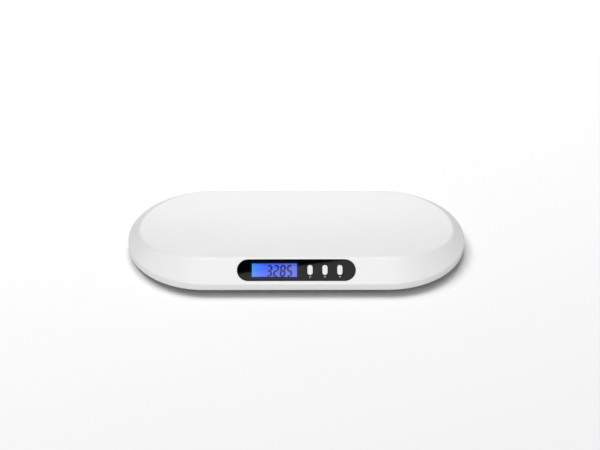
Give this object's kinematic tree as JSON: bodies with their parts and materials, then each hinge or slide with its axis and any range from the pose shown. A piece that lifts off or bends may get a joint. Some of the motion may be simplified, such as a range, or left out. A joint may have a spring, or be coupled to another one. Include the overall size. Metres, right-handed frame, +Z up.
{
  "type": "animal weighing scale",
  "caption": "Low platform scale for small animals: stadium-shaped white shell with a shallow tray, a sloping apron, and a black front panel with a blue display and three keys.",
  "frame": {"origin": "on the floor, under the middle of the body", "axes": "+X to the right as seen from the control panel, +Y to the back, +Z up"},
  "size_m": [0.55, 0.26, 0.045],
  "materials": {
    "shell_white": "moulded ABS, glossy",
    "pan_white": "moulded ABS, fine texture",
    "screw_steel": "zinc plated",
    "panel_black": "polished black acrylic",
    "adhesive_film": "foam tape",
    "window_clear": "clear acrylic",
    "mark_white": "printed ink",
    "lcd_glass": "polished glass",
    "guide_acrylic": "blue-lit acrylic",
    "led_white": "moulded epoxy",
    "frame_white": "moulded ABS",
    "board_green": "solder mask",
    "chip_black": "moulded epoxy",
    "connector_cream": "moulded nylon",
    "module_shield": "solder mask and can",
    "switch_black": "moulded nylon",
    "key_white": "moulded ABS",
    "plunger_tan": "moulded nylon",
    "cell_steel": "stamped alloy steel",
    "seal_silicone": "silicone",
    "cup_grey": "moulded ABS",
    "pad_rubber": "moulded rubber",
    "wire_red": "PVC insulation",
    "wire_black": "PVC insulation",
    "cell_jacket": "printed sleeve",
    "contact_nickel": "nickel plated"
  },
  "bodies": {
    "scale_body": {"platform_shell": "shell_white", "base_pan": "pan_white", "housing_screws": "screw_steel", "control_panel": "panel_black", "panel_adhesive": "adhesive_film", "display_window": "window_clear", "panel_marks": "mark_white", "lcd_cell": "lcd_glass", "light_guide": "guide_acrylic", "backlight_leds": "led_white", "display_frame": "frame_white", "main_board": "board_green", "board_chips": "chip_black", "board_connectors": "connector_cream", "wireless_module": "module_shield", "board_screws": "screw_steel", "switch_bodies": "switch_black", "holder_screws": "screw_steel", "gauge_seals": "seal_silicone", "cell_wires": "wire_red", "battery_leads": "wire_black", "battery_1": "cell_jacket", "battery_2": "cell_jacket", "battery_3": "cell_jacket", "battery_4": "cell_jacket", "battery_springs": "contact_nickel", "battery_plates": "contact_nickel", "load_cell_fl": "cell_steel", "cell_holder_fl": "frame_white", "foot_cup_fl": "cup_grey", "foot_pad_fl": "pad_rubber", "load_cell_fr": "cell_steel", "cell_holder_fr": "frame_white", "foot_cup_fr": "cup_grey", "foot_pad_fr": "pad_rubber", "load_cell_rl": "cell_steel", "cell_holder_rl": "frame_white", "foot_cup_rl": "cup_grey", "foot_pad_rl": "pad_rubber", "load_cell_rr": "cell_steel", "cell_holder_rr": "frame_white", "foot_cup_rr": "cup_grey", "foot_pad_rr": "pad_rubber"},
    "key_power_body": {"key_power": "key_white", "plunger_power": "plunger_tan"},
    "key_hold_body": {"key_hold": "key_white", "plunger_hold": "plunger_tan"},
    "key_tare_body": {"key_tare": "key_white", "plunger_tare": "plunger_tan"},
    "battery_door_body": {"battery_door": "pan_white"}
  },
  "joints": [
    {"name": "key_power_press", "type": "slide", "parent": "scale_body", "child": "key_power_body", "axis": [0, 0.5878, -0.809], "range_m": [0, 0.0006], "stiffness_N_per_m": 400, "springref_m": -0.001},
    {"name": "key_hold_press", "type": "slide", "parent": "scale_body", "child": "key_hold_body", "axis": [0, 0.5878, -0.809], "range_m": [0, 0.0006], "stiffness_N_per_m": 400, "springref_m": -0.001},
    {"name": "key_tare_press", "type": "slide", "parent": "scale_body", "child": "key_tare_body", "axis": [0, 0.5878, -0.809], "range_m": [0, 0.0006], "stiffness_N_per_m": 400, "springref_m": -0.001},
    {"name": "battery_door_hinge", "type": "hinge", "parent": "scale_body", "child": "battery_door_body", "pos_m": [-0.0335, 0.03, 0.007], "axis": [0, 1, 0], "range_deg": [0, 60]}
  ]
}
